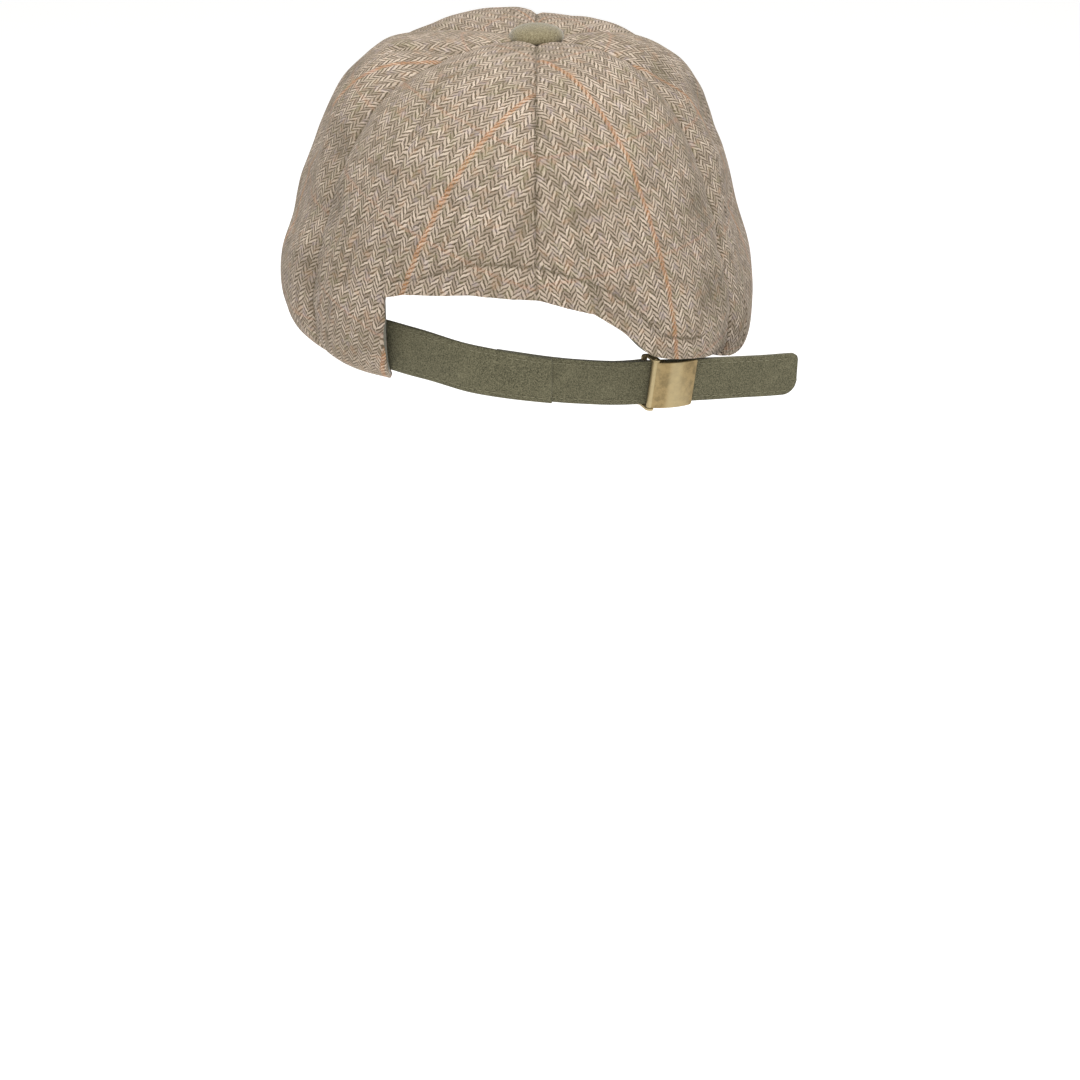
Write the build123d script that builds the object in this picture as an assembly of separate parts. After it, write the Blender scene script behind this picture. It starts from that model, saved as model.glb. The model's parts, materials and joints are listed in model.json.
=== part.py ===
"""Newsboy cap: six-panel crown, lining, stiffened visor, covered button and buckled back strap.

Millimetres. +Z is up, +Y points to the wearer's back, +X to the wearer's left.
The origin is the centre of the head opening, in the plane of its rim.
"""
from build123d import *
from math import atan2, cos, degrees, hypot, radians, sin, sqrt, tan
import os

# Head opening: an oval split at its widest line into a back half and a front half.
HEAD_HALF_WIDTH = 80.0
HEAD_BACK = 100.0
HEAD_FRONT = 101.0

# Layers of the crown, measured inwards from its outer face.
TWEED = 2.0
LAYER_GAP = 0.2
LINING = 0.8
FACING = 1.0
SEAM_GAP = 0.2

# Crown outline at rising heights: height, half width, length to the back, length to the front.
CROWN_SECTIONS = [
    (0.0, 84.0, 98.0, 101.0),
    (1.5, 94.0, 102.0, 109.0),
    (6.0, 103.0, 105.0, 118.0),
    (13.0, 108.5, 106.5, 124.0),
    (24.0, 111.0, 107.5, 129.0),
    (39.0, 109.0, 108.5, 131.0),
    (58.0, 102.5, 107.0, 129.0),
    (82.0, 94.0, 99.5, 121.0),
    (104.0, 81.5, 86.0, 107.0),
    (120.0, 65.0, 68.0, 87.0),
    (128.0, 46.0, 48.0, 62.0),
    (131.0, 26.0, 28.0, 36.0),
]
CROWN_TOP = CROWN_SECTIONS[-1][0]

# The seams meet off the middle, where the soft crown has settled to the wearer's right.
POLE = (-9.0, 0.0)
PANEL_ANGLE = 60.0
PANEL_NAMES = ["back_left", "back_right", "side_right", "front_right", "front_left", "side_left"]
FIRST_SEAM = 30.0

# Back arch: upright at the left, where the strap is sewn, and drawn up over the buckle at the right.
ARCH_LEFT = 56.0
ARCH_LEFT_TOP = (ARCH_LEFT, 43.0)
ARCH_TOP = (18.0, 50.5)
ARCH_SHOULDER = (-33.0, 42.0)
ARCH_CORNER = (-57.0, 24.5)
ARCH_END = (-103.0, 1.5)
ARCH_START_Y = 34.0
FACING_WIDTH = 11.0

# Sweatband
BAND_HEIGHT = 30.0
BAND_THICKNESS = 1.2
BAND_LIFT = 0.5
BAND_LEFT_X = 62.0
BAND_RIGHT_X = -74.0
OPENING_CLEARANCE = 1.0

# Visor: a board between two covers, bowed across and tilted down.
VISOR_REACH = 60.0
VISOR_RADIUS = 87.0
VISOR_END_Y = -34.0
VISOR_DROP = 0.4
VISOR_SPACE = 60.0
VISOR_BOW_RADIUS = 150.0
VISOR_TILT = 17.0
VISOR_COVER = 1.3
BOARD_THICKNESS = 1.8
BOARD_MARGIN = 3.0
BOARD_CLEARANCE = 0.1

# Covered button
BUTTON_RADIUS = 12.5
BUTTON_HEIGHT = 6.5
BUTTON_CLOTH = 0.8
BUTTON_METAL = 0.5
BUTTON_SLIP = 0.1
BUTTON_BACK_RADIUS = 10.0
SHANK_RADIUS = 1.5
SHANK_CLEARANCE = 0.3
TACK_RADIUS = 6.0
TACK_THICKNESS = 0.8

# Strap
STRAP_THICKNESS = 2.0
STRAP_WIDTH = 20.0
STRAP_ROOT_WIDTH = 22.0
STRAP_GAP = 0.2
STRAP_HALF_WIDTH = 81.0
STRAP_BACK = 101.0
TAIL_ANGLE = 23.0
ROOT_ANGLE = 30.0
TAIL_LENGTH = 112.0
TAIL_TOP_CORNER = 2.5
TAIL_FOOT_CORNER = 7.0
ROOT_X = 63.0
LAP_END_X = -16.0
LAP_START_X = 8.0
STRAP_MIDDLE_X = -10.0
STRAP_SLOPE = 7.0
# Heights of the strap's centre line, from beside the buckle to the root: (x, z).
STRAP_COURSE = [(-45.0, 3.2), (STRAP_MIDDLE_X, 11.6), (35.0, 18.4), (ROOT_X, 19.0)]
STRAP_SPACE = 60.0

# Buckle, in its own axes: x along the strap to its tip, y up across the strap, z outwards.
BUCKLE_FROM_TANGENT = 44.0
FRAME_LENGTH = 25.0
FRAME_HEIGHT = 23.4
FRAME_METAL = 1.2
FRAME_BAR = 2.4
FRAME_OUTER_Z = -2.8
EAR_METAL = 0.9
EAR_LENGTH = 3.8
PIN_RADIUS = 0.8
PIN_CLEARANCE = 0.05
PIN_X = -9.0
PIN_Z = 3.1
PIN_LENGTH = 24.2
LEVER_END_X = 12.0
LEVER_HEIGHT = 21.2
LEVER_METAL = 1.0
LEVER_BOW = 0.9
LEVER_END_Z = 3.0
LEVER_CORNER = 1.0
LEVER_EDGE = 0.25
KNUCKLE_RADIUS = 1.5
JAW_X = -5.5
JAW_WIDTH = 1.2
STRAP_CLEARANCE = 0.35
TAB_THICKNESS = 1.2
TAB_WIDTH = 18.0
TAB_END_X = -26.5
TAB_STITCHED_X = -17.0
TAB_GAP = 0.15

FAR = 400.0


def save(node, shape):
    """Write one sub-part to its own file."""
    export_step(shape, f"parts/{node}.step")


def oval(half_width, back, front, height=0.0):
    """A closed oval face at a height: half an ellipse to the back, half an ellipse to the front."""
    back_arc = EllipticalCenterArc((0, 0), half_width, back, 0, arc_size=180)
    front_arc = EllipticalCenterArc((0, 0), half_width, front, 180, arc_size=180)
    return Pos(0, 0, height) * make_face([back_arc, front_arc])


def head_prism(grow, low, high):
    """The head opening, grown outwards, as an upright prism."""
    face = oval(HEAD_HALF_WIDTH + grow, HEAD_BACK + grow, HEAD_FRONT + grow, low)
    return extrude(face, high - low, dir=(0, 0, 1))


def crown_solid(depth):
    """The crown as a filled form, its outer face moved inwards by depth, square to the profile."""
    faces = []
    last = len(CROWN_SECTIONS) - 1
    for i, (height, half_width, back, front) in enumerate(CROWN_SECTIONS):
        below = CROWN_SECTIONS[max(i - 1, 0)]
        above = CROWN_SECTIONS[min(i + 1, last)]
        run = above[1] - below[1]
        rise = above[0] - below[0]
        length = hypot(run, rise)
        inward = depth * rise / length
        lift = depth * run / length
        faces.append(oval(half_width - inward, back - inward, front - inward, height + lift))
    return loft(faces)


def arch_prism(grow):
    """The back arch as a solid that cuts through the crown's back, with its edge grown outwards."""
    slant = grow * sqrt(0.5)
    foot = -30.0
    right = ARCH_END[0] - 40.0
    left_top = (ARCH_LEFT_TOP[0] + grow, ARCH_LEFT_TOP[1] + slant)
    top = (ARCH_TOP[0], ARCH_TOP[1] + grow)
    shoulder = (ARCH_SHOULDER[0] - slant, ARCH_SHOULDER[1] + slant)
    corner = (ARCH_CORNER[0] - slant, ARCH_CORNER[1] + slant)
    end = (ARCH_END[0], ARCH_END[1] + grow)
    outline = ThreePointArc(left_top, top, shoulder)
    outline += Polyline(shoulder, corner, end, (right, end[1]), (right, foot), (left_top[0], foot), left_top)
    prism = extrude(Plane.XZ * make_face(outline), FAR, dir=(0, 1, 0))
    return Pos(0, ARCH_START_Y, 0) * prism


def wedge(first_angle):
    """One sixth of the crown's plan, from the pole outwards, short of its neighbours by the seam gap."""
    middle = radians(first_angle + PANEL_ANGLE / 2)
    tip = (POLE[0] + SEAM_GAP * cos(middle), POLE[1] + SEAM_GAP * sin(middle))
    corners = [tip]
    for angle in (first_angle, first_angle + PANEL_ANGLE):
        corners.append((tip[0] + FAR * cos(radians(angle)), tip[1] + FAR * sin(radians(angle))))
    return extrude(make_face(Polyline(*corners, close=True)), FAR, both=True)


def crown():
    """Six tweed panels, six lining panels behind them, and the facing along the arch."""
    lining_outside = crown_solid(TWEED + LAYER_GAP)
    opening = head_prism(OPENING_CLEARANCE, -5, 12)
    shank = Pos(POLE[0], POLE[1], CROWN_TOP) * Cylinder(SHANK_RADIUS + SHANK_CLEARANCE, 30)
    arch = arch_prism(0)
    tweed = crown_solid(0) - crown_solid(TWEED) - opening - arch - shank
    lining = lining_outside - crown_solid(TWEED + LAYER_GAP + LINING) - opening
    lining = lining - arch_prism(FACING_WIDTH + LAYER_GAP) - shank
    for i, name in enumerate(PANEL_NAMES):
        sector = wedge(FIRST_SEAM + PANEL_ANGLE * i)
        save(f"crown_panel_{name}", tweed & sector)
        save(f"lining_panel_{name}", lining & sector)
    facing = lining_outside - crown_solid(TWEED + LAYER_GAP + FACING) - opening
    save("arch_facing", (facing & arch_prism(FACING_WIDTH)) - arch)


def sweatband():
    """A band round the inside of the rim, open across the back behind the strap."""
    band = head_prism(BAND_THICKNESS / 2, BAND_LIFT, BAND_LIFT + BAND_HEIGHT)
    band -= head_prism(-BAND_THICKNESS / 2, BAND_LIFT - 1, BAND_LIFT + BAND_HEIGHT + 1)
    gap_middle = (BAND_LEFT_X + BAND_RIGHT_X) / 2
    gap = Pos(gap_middle, FAR / 2, 0) * Box(BAND_LEFT_X - BAND_RIGHT_X, FAR, FAR)
    save("sweatband", band - gap)


def visor_layer(outer_depth, inner_depth, margin):
    """A layer of the visor between two depths under its top, its outline drawn in by margin."""
    tilt = radians(VISOR_TILT)
    forwards = Vector(0, -cos(tilt), -sin(tilt))
    upwards = Vector(0, -sin(tilt), cos(tilt))
    root = Vector(0, -HEAD_FRONT, -VISOR_DROP)
    bow_axis = Plane(origin=root - upwards * VISOR_BOW_RADIUS, x_dir=(1, 0, 0), z_dir=forwards)
    layer = bow_axis * Cylinder(VISOR_BOW_RADIUS - outer_depth, FAR)
    layer -= bow_axis * Cylinder(VISOR_BOW_RADIUS - inner_depth, FAR)
    centre_y = VISOR_RADIUS - HEAD_FRONT - VISOR_REACH
    outline = Pos(0, centre_y, 0) * Cylinder(VISOR_RADIUS - margin, 2 * VISOR_SPACE)
    outline -= head_prism(OPENING_CLEARANCE + margin, -VISOR_SPACE, VISOR_SPACE)
    outline &= Pos(0, VISOR_END_Y - margin - FAR / 2, 0) * Box(FAR, FAR, 2 * VISOR_SPACE)
    return layer & outline


def visor():
    """A stiff board held between an upper and a lower cover, which meet round its edge."""
    board_top = VISOR_COVER
    board_foot = VISOR_COVER + BOARD_THICKNESS
    middle = (board_top + board_foot) / 2
    pocket = visor_layer(board_top - BOARD_CLEARANCE, board_foot + BOARD_CLEARANCE, BOARD_MARGIN - 0.5)
    save("visor_board", visor_layer(board_top, board_foot, BOARD_MARGIN))
    save("visor_top_cover", visor_layer(0, middle - BOARD_CLEARANCE, 0) - pocket)
    save("visor_bottom_cover", visor_layer(middle + BOARD_CLEARANCE, board_foot + VISOR_COVER, 0) - pocket)


def dome(radius, height):
    """A spherical cap standing on the crown's top at the pole."""
    sphere_radius = (radius**2 + height**2) / (2 * height)
    base = CROWN_TOP + LAYER_GAP
    ball = Pos(POLE[0], POLE[1], base + height - sphere_radius) * Sphere(sphere_radius)
    above = Pos(POLE[0], POLE[1], base + FAR / 2) * Box(FAR, FAR, FAR)
    return ball & above


def disc(radius, low, high):
    """A round plate on the pole's upright axis."""
    return Pos(POLE[0], POLE[1], (low + high) / 2) * Cylinder(radius, high - low)


def button():
    """A cloth-covered button: cover, domed shell, back plate with its shank, and the washer inside."""
    inner = dome(BUTTON_RADIUS - BUTTON_CLOTH, BUTTON_HEIGHT - BUTTON_CLOTH)
    save("button_cover", dome(BUTTON_RADIUS, BUTTON_HEIGHT) - inner)
    shell_radius = BUTTON_RADIUS - BUTTON_CLOTH - BUTTON_SLIP
    shell_height = BUTTON_HEIGHT - BUTTON_CLOTH - BUTTON_SLIP
    hollow = dome(shell_radius - BUTTON_METAL, shell_height - BUTTON_METAL)
    save("button_shell", dome(shell_radius, shell_height) - hollow)
    base = CROWN_TOP + LAYER_GAP
    washer_top = CROWN_TOP - TWEED - LAYER_GAP - LINING - LAYER_GAP
    plate = disc(BUTTON_BACK_RADIUS, base, base + TACK_THICKNESS)
    plate += disc(SHANK_RADIUS, washer_top - TACK_THICKNESS, base + TACK_THICKNESS / 2)
    save("button_back", plate)
    washer = disc(TACK_RADIUS, washer_top - TACK_THICKNESS, washer_top)
    save("button_washer", washer - disc(SHANK_RADIUS + BUTTON_SLIP, washer_top - 5, washer_top + 5))


def tangent_point(angle, half_width, back):
    """Where the oval's back half runs at an angle to X, on the wearer's left for a positive angle."""
    slope = tan(radians(angle))
    scale = sqrt(back**2 + (half_width * slope) ** 2)
    return half_width**2 * slope / scale, back**2 / scale


def strap_height(x):
    """The height of the strap's centre line: straight runs between its course's points, and to the tip."""
    knee_x, knee_z = STRAP_COURSE[0]
    if x < knee_x:
        return knee_z + (x - knee_x) * tan(radians(STRAP_SLOPE))
    for (low_x, low_z), (high_x, high_z) in zip(STRAP_COURSE, STRAP_COURSE[1:]):
        if x <= high_x:
            break
    return low_z + (x - low_x) / (high_x - low_x) * (high_z - low_z)


def strap_outline(grow):
    """The strap's plan: round the head between two tangent points, straight beyond them."""
    half_width = STRAP_HALF_WIDTH + grow
    back = STRAP_BACK + grow
    root = tangent_point(ROOT_ANGLE, half_width, back)
    tail = tangent_point(-TAIL_ANGLE, half_width, back)
    root_run = (ROOT_X - root[0]) / cos(radians(ROOT_ANGLE))
    root_end = (ROOT_X, root[1] - root_run * sin(radians(ROOT_ANGLE)))
    tail_end = (
        tail[0] - TAIL_LENGTH * cos(radians(TAIL_ANGLE)),
        tail[1] - TAIL_LENGTH * sin(radians(TAIL_ANGLE)),
    )
    start, end = (degrees(atan2(y / back, x / half_width)) for x, y in (root, tail))
    path = Line(root_end, root) + EllipticalCenterArc((0, 0), half_width, back, start, arc_size=end - start)
    path += Line(tail, tail_end)
    return trace(path, STRAP_THICKNESS)


def strap_face(stations):
    """The strap seen square from behind: a band along (x, width) stations, as a face in the XZ plane."""
    upper = [(x, strap_height(x) + width / 2) for x, width in stations]
    lower = [(x, strap_height(x) - width / 2) for x, width in stations]
    return make_face(Polyline(*upper, *reversed(lower), close=True))


def strap():
    """The root section, sewn under the left of the arch, and the tail section that it laps over."""
    band_width = STRAP_WIDTH / cos(radians(STRAP_SLOPE))
    knee_x = STRAP_COURSE[0][0]
    shoulder_x = STRAP_COURSE[2][0]
    root_face = strap_face([
        (ROOT_X, STRAP_ROOT_WIDTH),
        (shoulder_x, STRAP_ROOT_WIDTH),
        (STRAP_MIDDLE_X, band_width),
        (LAP_END_X, band_width),
    ])
    tip_x = tangent_point(-TAIL_ANGLE, STRAP_HALF_WIDTH, STRAP_BACK)[0]
    tip_x -= (TAIL_LENGTH - STRAP_THICKNESS) * cos(radians(TAIL_ANGLE))
    tail_face = strap_face([
        (LAP_START_X, band_width),
        (STRAP_MIDDLE_X, band_width),
        (knee_x, band_width),
        (tip_x, band_width),
    ])
    tip_corners = tail_face.vertices().sort_by(Axis.X)[:2].sort_by(Axis.Y)
    tail_face = fillet(tip_corners[0], TAIL_FOOT_CORNER)
    tail_face = fillet(tail_face.vertices().sort_by(Axis.X)[:3].sort_by(Axis.Y)[-1], TAIL_TOP_CORNER)
    for node, face, grow in (
        ("strap_root_section", root_face, STRAP_THICKNESS + STRAP_GAP),
        ("strap_tail_section", tail_face, 0),
    ):
        plan = extrude(strap_outline(grow), STRAP_SPACE, both=True)
        save(node, plan & extrude(Plane.XZ * face, FAR, dir=(0, 1, 0)))


def buckle_plane():
    """The buckle's own axes, on the straight run of the strap."""
    tail = tangent_point(-TAIL_ANGLE, STRAP_HALF_WIDTH, STRAP_BACK)
    turn = radians(TAIL_ANGLE)
    x = tail[0] - BUCKLE_FROM_TANGENT * cos(turn)
    y = tail[1] - BUCKLE_FROM_TANGENT * sin(turn)
    fall = tan(radians(STRAP_SLOPE)) * cos(turn)
    along = (-cos(turn), -sin(turn), -fall)
    return Plane(origin=(x, y, strap_height(x)), x_dir=along, z_dir=(-sin(turn), cos(turn), 0))


def block(x_low, x_high, y_low, y_high, z_low, z_high):
    """A box between two corners."""
    centre = ((x_low + x_high) / 2, (y_low + y_high) / 2, (z_low + z_high) / 2)
    return Pos(*centre) * Box(x_high - x_low, y_high - y_low, z_high - z_low)


def across(radius, length):
    """A round bar along y through the hinge."""
    return Pos(PIN_X, 0, PIN_Z) * Rot(90, 0, 0) * Cylinder(radius, length)


def buckle_frame():
    """A flat ring behind the strap, with two ears that carry the hinge pin."""
    half_length = FRAME_LENGTH / 2
    half_height = FRAME_HEIGHT / 2
    inside = half_height - EAR_METAL
    foot = FRAME_OUTER_Z - FRAME_METAL
    frame = block(-half_length, half_length, -half_height, half_height, foot, FRAME_OUTER_Z)
    window = block(-half_length + FRAME_BAR, half_length - FRAME_BAR, -inside, inside, foot - 1, 1)
    frame = fillet(frame.edges().filter_by(Axis.Z), FRAME_BAR / 2) - window
    for side in (-1, 1):
        low, high = sorted((side * inside, side * half_height))
        ear = block(PIN_X - EAR_LENGTH / 2, PIN_X + EAR_LENGTH / 2, low, high, foot, PIN_Z)
        tip = Pos(PIN_X, (low + high) / 2, PIN_Z) * Rot(90, 0, 0) * Cylinder(EAR_LENGTH / 2, EAR_METAL)
        frame += ear + tip
    return frame - across(PIN_RADIUS + PIN_CLEARANCE, FAR)


def buckle_lever():
    """A bowed plate on a knuckle round the pin, with a jaw that holds the strap."""
    half_height = LEVER_HEIGHT / 2
    knuckle_top = PIN_Z + KNUCKLE_RADIUS
    middle_x = (PIN_X + LEVER_END_X) / 2
    outer = ThreePointArc((PIN_X, knuckle_top), (middle_x, knuckle_top + LEVER_BOW), (LEVER_END_X, LEVER_END_Z))
    inner = ThreePointArc(
        (LEVER_END_X, LEVER_END_Z - LEVER_METAL),
        (middle_x, knuckle_top + LEVER_BOW - LEVER_METAL),
        (PIN_X, knuckle_top - LEVER_METAL),
    )
    profile = outer + Line((LEVER_END_X, LEVER_END_Z), (LEVER_END_X, LEVER_END_Z - LEVER_METAL))
    profile += inner + Line((PIN_X, knuckle_top - LEVER_METAL), (PIN_X, knuckle_top))
    side = Plane(origin=(0, half_height, 0), x_dir=(1, 0, 0), z_dir=(0, -1, 0))
    plate = extrude(side * make_face(profile), LEVER_HEIGHT, dir=(0, -1, 0))
    free_corners = plate.edges().group_by(Axis.X)[-1].filter_by(Axis.Z)
    plate = fillet(free_corners, LEVER_CORNER)
    plate = fillet(plate.faces().sort_by(Axis.Z)[-1].edges(), LEVER_EDGE)
    jaw_foot = STRAP_THICKNESS / 2 + STRAP_CLEARANCE
    jaw = block(JAW_X, JAW_X + JAW_WIDTH, -half_height, half_height, jaw_foot, knuckle_top)
    lever = plate + jaw + across(KNUCKLE_RADIUS, LEVER_HEIGHT)
    return lever - across(PIN_RADIUS + PIN_CLEARANCE, FAR)


def buckle_tab():
    """A cloth tab looped round the frame's inner bar, its two ends stitched together."""
    bar_x = -FRAME_LENGTH / 2 + FRAME_BAR
    middle_z = FRAME_OUTER_Z - FRAME_METAL / 2
    half_slot = FRAME_METAL / 2 + TAB_GAP
    half_loop = half_slot + TAB_THICKNESS
    half_width = TAB_WIDTH / 2
    slot_end = bar_x + TAB_GAP
    loop_end = slot_end + TAB_THICKNESS
    loop = block(TAB_STITCHED_X, loop_end, -half_width, half_width, middle_z - half_loop, middle_z + half_loop)
    round_edges = loop.edges().filter_by(Axis.Y).group_by(Axis.X)[-1]
    loop = fillet(round_edges, TAB_THICKNESS * 0.9)
    slot_start = TAB_STITCHED_X + TAB_THICKNESS
    loop -= block(slot_start, slot_end, -FAR, FAR, middle_z - half_slot, middle_z + half_slot)
    stitched = block(
        TAB_END_X, TAB_STITCHED_X, -half_width, half_width, middle_z - TAB_THICKNESS, middle_z + TAB_THICKNESS
    )
    return loop + stitched


def buckle():
    """The clip buckle: frame, pin, lever and the tab that ties it to the crown."""
    place = buckle_plane()
    save("buckle_frame", place * buckle_frame())
    save("buckle_pin", place * across(PIN_RADIUS, PIN_LENGTH))
    save("buckle_lever", place * buckle_lever())
    save("buckle_tab", place * buckle_tab())
    hinge = place.from_local_coords((PIN_X, 0, PIN_Z))
    print("buckle hinge at", hinge, "slide along", place.x_dir, "hinge axis", -place.y_dir)


os.makedirs("parts", exist_ok=True)
crown()
sweatband()
visor()
button()
strap()
buckle()
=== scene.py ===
"""Newsboy cap: tweed crown, lining, visor, button, strap and buckle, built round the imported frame.

Metres, in the frame's axes: +Z up, +Y to the wearer's back, +X to the wearer's left.
"""
import json
import math

import bmesh
import bpy
import numpy as np
from mathutils import Matrix, Vector, noise


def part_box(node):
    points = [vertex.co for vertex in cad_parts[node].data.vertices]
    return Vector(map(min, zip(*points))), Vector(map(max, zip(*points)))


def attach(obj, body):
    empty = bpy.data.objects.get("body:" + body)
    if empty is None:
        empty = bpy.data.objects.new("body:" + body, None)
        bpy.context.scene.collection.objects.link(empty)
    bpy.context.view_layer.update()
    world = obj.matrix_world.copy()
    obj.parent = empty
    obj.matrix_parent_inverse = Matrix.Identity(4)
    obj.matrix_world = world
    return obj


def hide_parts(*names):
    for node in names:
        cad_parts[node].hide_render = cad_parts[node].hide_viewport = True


MM = 0.001

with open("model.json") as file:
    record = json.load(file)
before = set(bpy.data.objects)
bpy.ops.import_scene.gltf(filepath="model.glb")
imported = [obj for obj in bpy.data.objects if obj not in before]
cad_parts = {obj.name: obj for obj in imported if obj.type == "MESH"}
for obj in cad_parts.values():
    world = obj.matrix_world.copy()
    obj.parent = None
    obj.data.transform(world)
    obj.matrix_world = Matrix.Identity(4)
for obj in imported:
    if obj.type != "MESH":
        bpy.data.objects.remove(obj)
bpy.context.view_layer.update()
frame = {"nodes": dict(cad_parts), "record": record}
scene = bpy.context.scene

# ---------------------------------------------------------------- camera, light and floor

IMAGE_PIXELS = 1080
FOCAL_PIXELS = 1580
CAMERA_PLACE = Vector((-10.5, 721.0, 276.6)) * MM
CAMERA_PITCH = math.radians(29.0)
FLOOR_Z = -0.34
FLOOR_SIZE = 12
FLOOR_GLOW = 0.52
SKY_LIGHT = 0.47
LIGHT_SIZE = 0.8
LIGHT_TARGET = (0, 0, 0.05)
# name, place (m) and power (W) of each large light
LIGHTS = (("overhead", (-0.05, 0.30, 1.3), 17.0), ("back_fill", (0.0, 1.3, 0.7), 7.0))


def add_camera():
    """The camera stands behind the cap, a little above it, and looks down at 29 degrees."""
    data = bpy.data.cameras.new("camera")
    data.sensor_width = 36.0
    data.lens = data.sensor_width * FOCAL_PIXELS / IMAGE_PIXELS
    camera = bpy.data.objects.new("camera", data)
    scene.collection.objects.link(camera)
    right = Vector((-1, 0, 0))
    back = Vector((0, math.cos(CAMERA_PITCH), math.sin(CAMERA_PITCH)))
    up = back.cross(right)
    turn = Matrix((right, up, back)).transposed()
    camera.matrix_world = Matrix.Translation(CAMERA_PLACE) @ turn.to_4x4()
    scene.camera = camera


def add_area_light(name, place, power):
    """A large square light, aimed at the cap."""
    data = bpy.data.lights.new(name, "AREA")
    data.size = LIGHT_SIZE
    data.energy = power
    light = bpy.data.objects.new(name, data)
    scene.collection.objects.link(light)
    light.location = place
    light.rotation_euler = (Vector(LIGHT_TARGET) - Vector(place)).to_track_quat("-Z", "Y").to_euler()


def add_stage():
    """A white floor in soft white surroundings, with two large lights above the cap's back."""
    world = bpy.data.worlds.new("studio")
    world.use_nodes = True
    background = world.node_tree.nodes["Background"]
    background.inputs["Color"].default_value = (1.0, 0.99, 0.98, 1)
    seen = world.node_tree.nodes.new("ShaderNodeLightPath")
    level = world.node_tree.nodes.new("ShaderNodeMapRange")
    level.inputs["To Min"].default_value = SKY_LIGHT
    level.inputs["To Max"].default_value = 1.0
    world.node_tree.links.new(seen.outputs["Is Camera Ray"], level.inputs["Value"])
    world.node_tree.links.new(level.outputs[0], background.inputs["Strength"])
    scene.world = world
    scene.view_settings.view_transform = "Standard"
    for name, place, power in LIGHTS:
        add_area_light(name, place, power)
    bpy.ops.mesh.primitive_plane_add(size=FLOOR_SIZE, location=(0, 0, FLOOR_Z))
    floor = bpy.context.object
    floor.name = "floor"
    material = bpy.data.materials.new("pale_floor")
    material.use_nodes = True
    shader = material.node_tree.nodes["Principled BSDF"]
    shader.inputs["Base Color"].default_value = (0.93, 0.925, 0.915, 1)
    shader.inputs["Roughness"].default_value = 0.9
    shader.inputs["Emission Color"].default_value = (1, 1, 1, 1)
    shader.inputs["Emission Strength"].default_value = FLOOR_GLOW
    floor.data.materials.append(material)


add_camera()
add_stage()

# ---------------------------------------------------------------- node helpers


class Nodes:
    """Builds a material's nodes with short calls. A value can be a number or another node's output."""

    def __init__(self, name):
        self.material = bpy.data.materials.new(name)
        self.material.use_nodes = True
        self.tree = self.material.node_tree
        self.shader = self.tree.nodes["Principled BSDF"]

    def put(self, socket, value):
        """Links an output to a socket, or sets the socket to a number or a colour."""
        if isinstance(value, bpy.types.NodeSocket):
            self.tree.links.new(value, socket)
        else:
            socket.default_value = value

    def node(self, kind, out=0, settings=None, **inputs):
        """A new node's output. Inputs are given by name, or by number as i0, i1 and so on."""
        made = self.tree.nodes.new("ShaderNode" + kind)
        for key, value in (settings or {}).items():
            setattr(made, key, value)
        for key, value in inputs.items():
            index = int(key[1:]) if key[0] == "i" and key[1:].isdigit() else key.replace("_", " ")
            self.put(made.inputs[index], value)
        return made.outputs[out]

    def math(self, operation, a, b=0.0, c=0.0):
        return self.node("Math", settings={"operation": operation}, i0=a, i1=b, i2=c)

    def vector_math(self, operation, *values, out=0, **inputs):
        places = {f"i{k}": value for k, value in enumerate(values)}
        return self.node("VectorMath", out=out, settings={"operation": operation}, **places, **inputs)

    def split(self, vector):
        """The three parts of a vector."""
        made = self.tree.nodes.new("ShaderNodeSeparateXYZ")
        self.put(made.inputs[0], vector)
        return made.outputs

    def cloth_place(self):
        """Where a point lies on its cloth, in millimetres."""
        uv = self.node("UVMap", settings={"uv_map": CLOTH_UV})
        return self.vector_math("MULTIPLY", uv, (1000.0, 1000.0, 0.0))

    def object_place(self):
        """Where a point lies in its object, in millimetres."""
        return self.vector_math("SCALE", self.node("TexCoord", out=3), Scale=1000.0)

    def smooth(self, value, low, high, to_low=0.0, to_high=1.0):
        """Eases from to_low to to_high as the value goes from low to high."""
        settings = {"interpolation_type": "SMOOTHSTEP"}
        return self.node("MapRange", settings=settings, i0=value, i1=low, i2=high, i3=to_low, i4=to_high)

    def mix(self, share, first, second):
        made = self.tree.nodes.new("ShaderNodeMix")
        made.data_type = "RGBA"
        self.put(made.inputs[0], share)
        self.put(made.inputs[6], first)
        self.put(made.inputs[7], second)
        return made.outputs[2]

    def noise(self, vector, scale, detail=2.0, roughness=0.5, out=0):
        return self.node("TexNoise", out=out, Vector=vector, Scale=scale, Detail=detail, Roughness=roughness)

    def bump(self, height, distance, strength):
        made = self.tree.nodes.new("ShaderNodeBump")
        made.inputs["Strength"].default_value = strength
        made.inputs["Distance"].default_value = distance
        self.put(made.inputs["Height"], height)
        return made.outputs[0]

    def finish(self, color, normal, **sockets):
        """Joins colour, normal and the other values to the shader, and gives the material."""
        self.put(self.shader.inputs["Base Color"], color)
        self.put(self.shader.inputs["Normal"], normal)
        for key, value in sockets.items():
            self.put(self.shader.inputs[key.replace("_", " ")], value)
        return self.material


# the two maps of a sheet: places on its cloth, and distances from its seams and from the arch
CLOTH_UV = "cloth"
EDGE_UV = "edges"
FAR = 100.0

# ---------------------------------------------------------------- tweed

# width of a herringbone column, and the pitch (mm) and steepness of its ribs
COLUMN = 2.65
TWILL_PITCH = 2.35
TWILL_SLOPE = 1.15
# spacing of the overcheck's lines, across the warp and along it (mm)
WARP_CHECK = 69.0
WEFT_CHECK = 48.5
# distance from the arch's edge that the edge map gives to its row of stitches (mm)
ARCH_STITCH = 10.0
RAGGED = 0.7
RIB_RELIEF = 0.00035
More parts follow.
